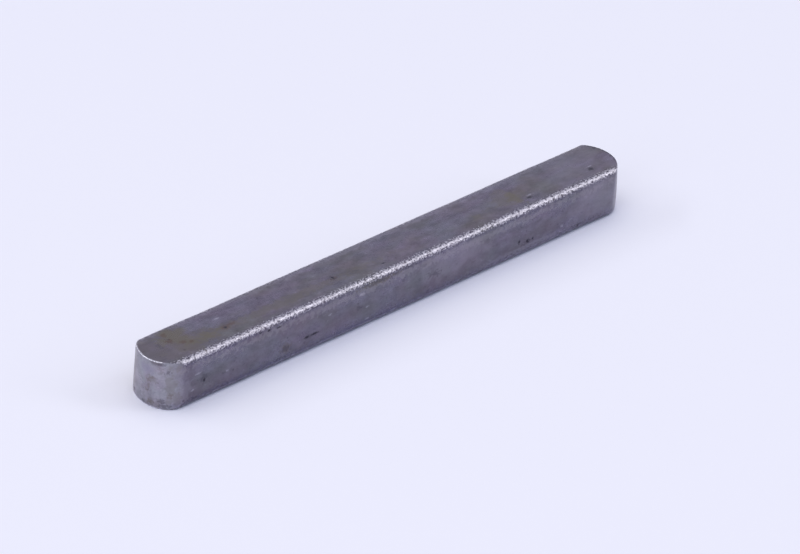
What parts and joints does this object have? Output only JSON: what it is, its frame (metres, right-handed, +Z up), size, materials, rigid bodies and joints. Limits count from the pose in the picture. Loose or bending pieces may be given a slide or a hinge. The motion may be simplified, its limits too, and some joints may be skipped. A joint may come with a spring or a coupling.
{
  "type": "parallel key",
  "caption": "Bare steel parallel key: a straight bar with rounded long edges and shallow arc ends, which locks a hub to a shaft.",
  "frame": {"origin": "centre of the underside, midway between the ends and the side faces", "axes": "+X along the key, +Y across its width towards a side face, +Z up its height from the shaft side to the hub side"},
  "size_m": [0.08, 0.008, 0.007],
  "materials": {
    "bare_steel": "cold-drawn bare steel, dull grey with fine lengthwise drawing marks, small pits, faint oil and rust stains, and brighter rubbed long edges"
  },
  "bodies": {
    "root": {"parallel_key": "bare_steel"}
  },
  "joints": []
}
